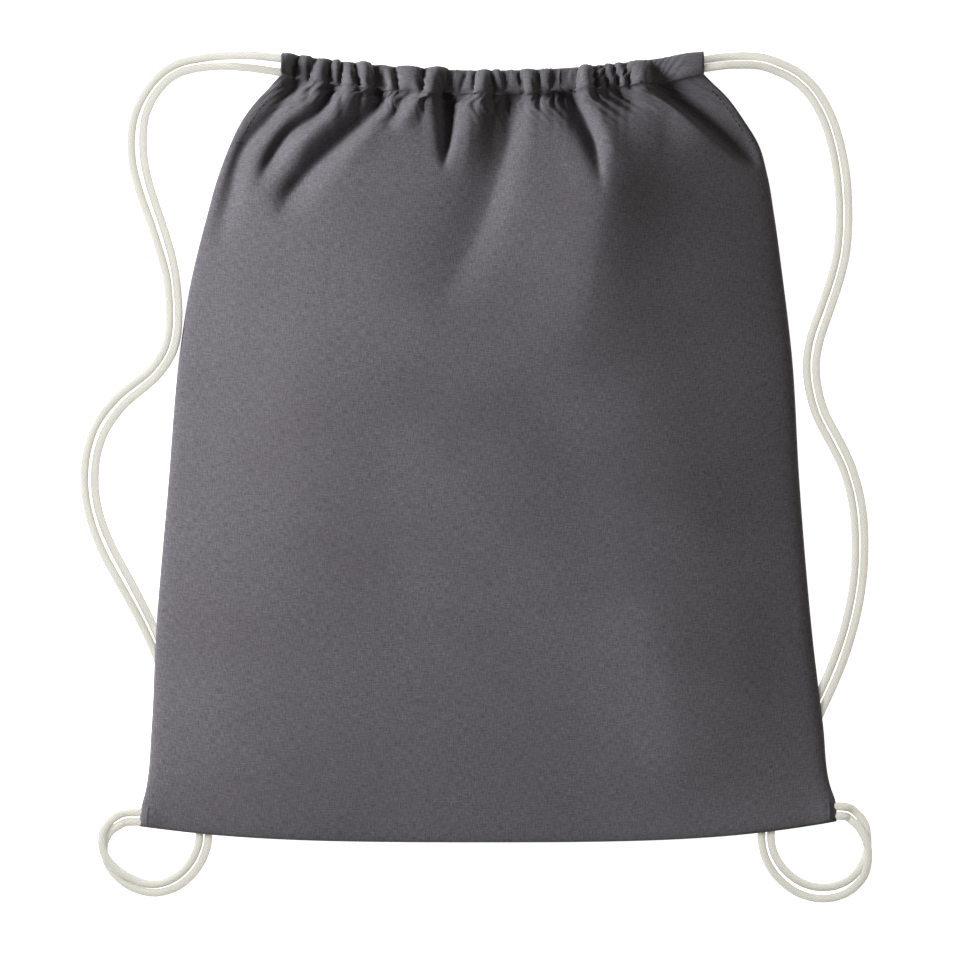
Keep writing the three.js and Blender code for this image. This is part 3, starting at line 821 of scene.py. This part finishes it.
def leg_line(route, strand):
    """One strand of a pair of legs, from the mouth to the corner."""
    route = np.array(route)
    middle = catmull(route[:, :2], 2)
    side = np.interp(np.arange(len(middle)) / 2, np.arange(len(route)), route[:, 2])
    drop = np.interp(np.arange(len(middle)) / 2, np.arange(len(route)), route[:, 3])
    tangent = np.gradient(middle, axis=0)
    tangent /= np.linalg.norm(tangent, axis=1)[:, None]
    share = (BACK_TUNNEL_Z - CORD / 2) / (FRONT_TUNNEL_Z - CORD / 2)
    over = np.sqrt(np.maximum(0, CROSSING_CLEARANCE**2 - (2 * side) ** 2))
    rise = np.where(drop > 0, drop, over) if strand > 0 else drop * share
    climb = UNDERPASS + EDGE_STACK / 2 - CORD / 2
    t = np.linspace(0, 1, len(middle))
    z = CORD / 2 + rise + climb * smoothstep(t, CLIMB_START, 1)
    x = middle[:, 0] - tangent[:, 1] * side * strand
    y = middle[:, 1] + tangent[:, 0] * side * strand
    return np.stack([x, y, z], axis=1)


def run_line(side):
    """The stretch in the tunnels, with its turn at the far side slit."""
    half_z = (FRONT_TUNNEL_Z - BACK_TUNNEL_Z) / 2
    middle_z = (FRONT_TUNNEL_Z + BACK_TUNNEL_Z) / 2
    turn_radius = math.hypot(half_z, RUN_OFFSET)
    front_offset = -side * RUN_OFFSET
    points = []
    for along in np.linspace(side * RUN_END, -side * TURN_AT, 17):
        points.append(mouth_point(along, front_offset, middle_z + half_z))
    for angle in np.linspace(0, math.pi, 11)[1:-1]:
        share = math.cos(angle)
        along = -side * (TURN_AT + turn_radius * math.sin(angle))
        points.append(mouth_point(along, front_offset * share, middle_z + half_z * share))
    for along in np.linspace(-side * TURN_AT, side * RUN_END, 17):
        points.append(mouth_point(along, -front_offset, middle_z - half_z))
    return np.array(points)


def cord_line(side, route):
    """The whole drawcord: corner, front leg, both tunnels, back leg, corner."""
    tail = np.array([[-side * 3.5 * MM, 0, 0]])
    front = leg_line(route, 1)[::-1]
    back = leg_line(route, -1)
    line = np.vstack([front, run_line(side), back])
    line = np.vstack([line[:1] + tail, line, line[-1:] + tail])
    return even_spacing(catmull(line, 6), CORD_STEP)


def braided_cord(name, line):
    """A round braid: its surface follows the diamonds of two opposite sets of strands."""
    sides = CORD_SIDES
    tangent = np.gradient(line, axis=0)
    tangent /= np.linalg.norm(tangent, axis=1)[:, None]
    normal = np.zeros_like(line)
    normal[0] = np.cross(tangent[0], [0, 0, 1])
    normal[0] /= np.linalg.norm(normal[0])
    for k in range(1, len(line)):
        flat = normal[k - 1] - tangent[k] * (normal[k - 1] @ tangent[k])
        normal[k] = flat / np.linalg.norm(flat)
    binormal = np.cross(tangent, normal)
    along = np.r_[0, np.cumsum(np.linalg.norm(np.diff(line, axis=0), axis=1))]
    turn = np.arange(sides + 1) / sides
    phase_1 = 2 * np.pi * (BRAID_STRANDS * turn[None, :] + along[:, None] / BRAID_PITCH)
    phase_2 = 2 * np.pi * (BRAID_STRANDS * turn[None, :] - along[:, None] / BRAID_PITCH)
    braid = np.abs(np.sin(phase_1)) * np.abs(np.sin(phase_2))
    radius = CORD / 2 * (0.95 + 0.07 * braid)
    angle = 2 * np.pi * turn[None, :, None]
    ring = normal[:, None] * np.cos(angle) + binormal[:, None] * np.sin(angle)
    ring = ring * radius[..., None]
    from_end = np.minimum(along, along[-1] - along)
    ring[..., 2] *= (0.42 + 0.58 * smoothstep(from_end, 0.001, 0.008))[:, None]
    points = line[:, None] + ring
    uvs = np.stack(np.broadcast_arrays(along[:, None], turn[None, :]), axis=-1)
    faces = grid_faces(len(line), sides + 1, flip=True)
    return mesh_object(name, points.reshape(-1, 3), faces, uvs.reshape(-1, 2), BRAID)


# ---------------------------------------------------------------- build


def dress_cords():
    cords = {}
    for hand, side, route in (("left", -1, LEFT_LEGS), ("right", 1, RIGHT_LEGS)):
        line = cord_line(side, route)
        cord = braided_cord(f"{hand}_drawcord", line)
        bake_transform(cord)
        nodes = [f"{hand}_cord_front_leg", f"{hand}_cord_tunnel_run", f"{hand}_cord_back_leg"]
        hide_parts(*nodes)
        cords[hand] = cord
    return cords


def dress_cloth():
    sheets = {}
    layers = (("back", -1, ["left_drawcord", "right_drawcord"]), ("front", 1, ["back_cloth"]))
    for name, side, rests_on in layers:
        points, uvs = make_sheet(side)
        sheet = solid_sheet(f"{name}_cloth", points, uvs, side, CLOTH)
        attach(sheet, "bag")
        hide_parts(f"{name}_panel", f"{name}_tunnel")
        sheets[name] = points
    return sheets


def settle(piece, slot, *nodes):
    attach(piece, "bag")
    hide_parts(*nodes)


# ---------------------------------------------------------------- sewing

THREAD_RADIUS = 0.2 * MM
STITCH_PITCH = 3.1 * MM
STITCH_LENGTH = 2.4 * MM
STITCH_RISE = 0.28
STITCH_SINK = 0.12
FIRST_STITCH = 1.5 * MM
SLIT_Y = 0.170
HEM_COLUMNS = 6
SEAM_PLIES = 0.7 * MM
TACK_RADIUS = 0.16 * MM
HEM_PLIES = 0.4 * MM
HEM_DEPTH = 0.75 * MM
OVERLOCK_PITCH = 3 * MM
OVERLOCK_STEPS = 8
OVERLOCK_REACH = 1.5
OVERLOCK_INSET = 1.1
OVERLOCK_HEIGHT = 0.62


def thread_tubes(name, lines, radius=THREAD_RADIUS, sides=6):
    """Threads along several lines, in one mesh, each narrowed at both ends."""
    vertices, faces = [], []
    turn = 2 * np.pi * np.arange(sides) / sides
    for line in lines:
        line = np.asarray(line)
        tangent = np.gradient(line, axis=0)
        tangent /= np.maximum(np.linalg.norm(tangent, axis=1), 1e-12)[:, None]
        across = np.cross(tangent, [0.02, 0.03, 1])
        across /= np.linalg.norm(across, axis=1)[:, None]
        up = np.cross(across, tangent)
        size = np.full(len(line), radius)
        size[[0, -1]] *= 0.35
        ring = across[:, None] * np.cos(turn)[:, None] + up[:, None] * np.sin(turn)[:, None]
        start = sum(len(v) for v in vertices)
        vertices.append((line[:, None] + ring * size[:, None, None]).reshape(-1, 3))
        for k in range(len(line) - 1):
            for i in range(sides):
                j = (i + 1) % sides
                base = start + k * sides
                faces.append((base + i, base + j, base + sides + j, base + sides + i))
    return mesh_object(name, np.vstack(vertices), faces, material=THREAD)


def running_stitches(line, up):
    """Separate stitches along a line on the cloth, each dipping into it at both ends."""
    lengths = np.r_[0, np.cumsum(np.linalg.norm(np.diff(line, axis=0), axis=1))]
    stitches = []
    for start in np.arange(FIRST_STITCH, lengths[-1] - STITCH_PITCH, STITCH_PITCH):
        t = np.linspace(0, 1, 5)
        at = start + t * STITCH_LENGTH
        points = np.stack([np.interp(at, lengths, line[:, k]) for k in range(3)], axis=1)
        points[:, 2] += up * (STITCH_RISE * np.sin(np.pi * t) - STITCH_SINK) * MM
        stitches.append(points)
    return stitches


def zigzag(line, width, turns, rise):
    """A dense bartack along a line on the cloth, with threads going from side to side."""
    lengths = np.r_[0, np.cumsum(np.linalg.norm(np.diff(line, axis=0), axis=1))]
    at = np.linspace(0, lengths[-1], 2 * turns + 1)
    corners = np.stack([np.interp(at, lengths, line[:, k]) for k in range(3)], axis=1)
    sway = np.where(np.arange(2 * turns + 1) % 2 == 0, -0.5, 0.5)
    fine = even_spacing(corners + np.array(width) * sway[:, None], 0.5 * MM)
    fine[:, 2] += rise
    return fine


def mid_surface(front, back, rows, columns):
    return (front[rows][:, columns] + back[rows][:, columns]) / 2


def strip_object(name, points, thickness, material):
    rows, columns = points.shape[:2]
    along = np.r_[0, np.cumsum(np.linalg.norm(np.diff(points[:, 0], axis=0), axis=1))]
    across = np.r_[0, np.cumsum(np.linalg.norm(np.diff(points[0], axis=0), axis=1))]
    uvs = np.stack(np.broadcast_arrays(across[None, :], along[:, None]), axis=-1)
    obj = mesh_object(name, points.reshape(-1, 3), grid_faces(rows, columns), uvs.reshape(-1, 2), material)
    solidify = obj.modifiers.new("plies", "SOLIDIFY")
    solidify.thickness = thickness
    solidify.offset = 0
    return obj


def overlock(line, outward):
    """Thread wrapped round the raw edge of an allowance."""
    line = even_spacing(line, OVERLOCK_PITCH / OVERLOCK_STEPS)
    turn = np.arange(len(line)) * 2 * np.pi / OVERLOCK_STEPS
    tangent = np.gradient(line, axis=0)
    tangent /= np.linalg.norm(tangent, axis=1)[:, None]
    side = np.cross(tangent, [0, 0, 1]) * outward
    wrapped = line + side * (np.cos(turn) * OVERLOCK_REACH * MM - OVERLOCK_INSET * MM)[:, None]
    wrapped[:, 2] += np.sin(turn) * OVERLOCK_HEIGHT * MM
    return wrapped


def dress_seams(front, back):
    slit_row = int(np.argmax(front[:, 0, 1] > SLIT_Y))
    for hand, edge, step in (("left", 0, 1), ("right", -1, -1)):
        columns = [edge + step * k for k in range(1, 6)]
        rows = np.arange(2, slit_row)
        strip = mid_surface(front, back, rows, columns)
        seam = strip_object(f"{hand}_allowance", strip, SEAM_PLIES, ALLOWANCE)
        settle(seam, "seam_allowance", f"{hand}_side_seam")
        edging = thread_tubes(f"{hand}_overlock", [overlock(strip[:, -1], step)], sides=5)
        settle(edging, "sewing_thread", f"{hand}_side_seam")
        for name, sheet, up in (("front", front, 1), ("back", back, -1)):
            hem_rows = np.arange(slit_row, PANEL_ROWS)
            hem = sheet[hem_rows][:, [edge + step * k for k in range(HEM_COLUMNS)]].copy()
            hem[..., 2] -= up * HEM_DEPTH
            piece = strip_object(f"{hand}_{name}_slit_turning", hem, HEM_PLIES, ALLOWANCE)
            settle(piece, "seam_allowance", f"{hand}_{name}_slit_hem")
            line = sheet[hem_rows, edge + step * (HEM_COLUMNS - 2)]
            stitches = thread_tubes(f"{hand}_{name}_slit_stitches", running_stitches(line, up))
            settle(stitches, "sewing_thread", f"{hand}_{name}_slit_hem")
        line = front[slit_row - 2, [edge + step * k for k in range(1, 5)]]
        tack = zigzag(line, (0, 1.6 * MM, 0), 8, 0.05 * MM)
        piece = thread_tubes(f"{hand}_slit_tack", [tack], TACK_RADIUS, 5)
        settle(piece, "sewing_thread", f"{hand}_slit_bartack")


def dress_bottom(front, back):
    rows = [2, 3, 4, 5]
    columns = np.arange(4, COLUMNS - 3)
    strip = mid_surface(front, back, rows, columns).transpose(1, 0, 2)
    seam = strip_object("bottom_allowance", strip, SEAM_PLIES, ALLOWANCE)
    settle(seam, "seam_allowance", "bottom_seam")
    edging = thread_tubes("bottom_overlock", [overlock(strip[:, -1], -1)], sides=5)
    settle(edging, "sewing_thread", "bottom_seam")


def dress_tunnel_stitching(front, back):
    for name, sheet, up in (("front", front, 1), ("back", back, -1)):
        piece = thread_tubes(f"{name}_tunnel_stitches", running_stitches(sheet[PANEL_ROWS], up))
        settle(piece, "sewing_thread", f"{name}_tunnel_stitching")


def dress_corners(front):
    for hand, side, route in (("left", -1, LEFT_LEGS), ("right", 1, RIGHT_LEGS)):
        tails = []
        for strand in (1, -1):
            end = leg_line(route, strand)[-1]
            reach = np.linspace(-1.5, 12, 12)[:, None] * MM * np.array([-side, 0, 0])
            tails.append(end + reach)
        piece = flat_tails(f"{hand}_corner_tails", tails)
        settle(piece, "drawcord", f"{hand}_cord_tails")
        edge = 0 if side < 0 else COLUMNS
        rows = np.arange(1, 7)
        line = front[rows, edge - side * 3]
        tack = zigzag(line, (1.8 * MM, 0, 0), 14, 0.06 * MM)
        piece = thread_tubes(f"{hand}_corner_tack", [tack], TACK_RADIUS, 5)
        settle(piece, "sewing_thread", f"{hand}_corner_bartack")


def flat_tails(name, lines):
    """The pressed ends of both legs, side by side in the corner seam."""
    vertices, faces, uvs = [], [], []
    sides = 12
    turn = np.arange(sides + 1) / sides
    for line in lines:
        along = np.linspace(0, 1, len(line))[:, None]
        wide = 2.0 * MM * (1 - 0.25 * along**3)
        thick = 0.9 * MM * (1 - 0.55 * along)
        y = line[:, 1:2] + wide * np.cos(2 * np.pi * turn)
        z = line[:, 2:3] + thick * np.sin(2 * np.pi * turn)
        x = np.repeat(line[:, :1], sides + 1, axis=1)
        start = sum(len(v) for v in vertices)
        vertices.append(np.stack([x, y, z], axis=-1).reshape(-1, 3))
        faces.append(grid_faces(len(line), sides + 1) + start)
        uvs.append(np.stack(np.broadcast_arrays(along * 13 * MM, turn[None, :]), axis=-1).reshape(-1, 2))
    return mesh_object(name, np.vstack(vertices), np.vstack(faces), np.vstack(uvs), BRAID)


def dress_stage():
    bpy.ops.mesh.primitive_plane_add(size=6, location=(0, 0, -0.0002))
    floor = bpy.context.object
    floor.name = "studio_floor"
    floor.data.materials.append(studio_paper("studio_paper"))


def area_light(name, place, target, size, power, colour=(1, 1, 1)):
    data = bpy.data.lights.new(name, "AREA")
    data.shape = "RECTANGLE"
    data.size, data.size_y = size
    data.energy = power
    data.color = colour
    light = bpy.data.objects.new(name, data)
    light.location = place
    direction = np.array(target) - np.array(place)
    light.rotation_euler = Vector(direction).to_track_quat("-Z", "Y").to_euler()
    bpy.context.scene.collection.objects.link(light)
    return light


def dress_lights(cords):
    """A low key that models the dark cloth, and a high soft light that only the pale cords take."""
    key = area_light("key", (-1.55, 0.26, 0.74), (0, 0, 0), (0.75, 0.6), 65, (0.95, 0.967, 1.0))
    area_light("right_fill", (1.4, -0.1, 0.55), (0, 0, 0), (0.9, 0.6), 2.5, (1.0, 0.93, 0.84))
    above = area_light("cord_light", (-0.45, 0.35, 1.5), (0, 0, 0), (1.4, 1.4), 31, (0.985, 0.993, 1.0))
    pale = bpy.data.collections.new("taken_by_cords")
    others = bpy.data.collections.new("not_taken_by_cords")
    for cord in cords.values():
        pale.objects.link(cord)
        others.objects.link(cord)
    for member in others.collection_objects:
        member.light_linking.link_state = "EXCLUDE"
    above.light_linking.receiver_collection = pale
    key.light_linking.receiver_collection = others
    world = bpy.data.worlds.new("studio")
    world.use_nodes = True
    background = world.node_tree.nodes["Background"]
    background.inputs["Color"].default_value = (1, 0.95, 0.87, 1)
    background.inputs["Strength"].default_value = 0.10
    bpy.context.scene.world = world


CAMERA_HEIGHT = 2.2
CAMERA_AT = (-4.384 * MM, -17.81 * MM)
VIEW_WIDTH = 526.08 * MM
SENSOR_WIDTH = 36


def dress_camera():
    data = bpy.data.cameras.new("camera")
    data.sensor_width = SENSOR_WIDTH
    data.lens = SENSOR_WIDTH * CAMERA_HEIGHT / VIEW_WIDTH
    camera = bpy.data.objects.new("camera", data)
    camera.location = (*CAMERA_AT, CAMERA_HEIGHT)
    bpy.context.scene.collection.objects.link(camera)
    bpy.context.scene.camera = camera


dress_camera()
CORDS = dress_cords()
SHEETS = dress_cloth()
dress_tunnel_stitching(SHEETS["front"], SHEETS["back"])
dress_seams(SHEETS["front"], SHEETS["back"])
dress_bottom(SHEETS["front"], SHEETS["back"])
dress_corners(SHEETS["front"])
dress_stage()
dress_lights(CORDS)
bpy.context.scene.view_settings.view_transform = "Standard"
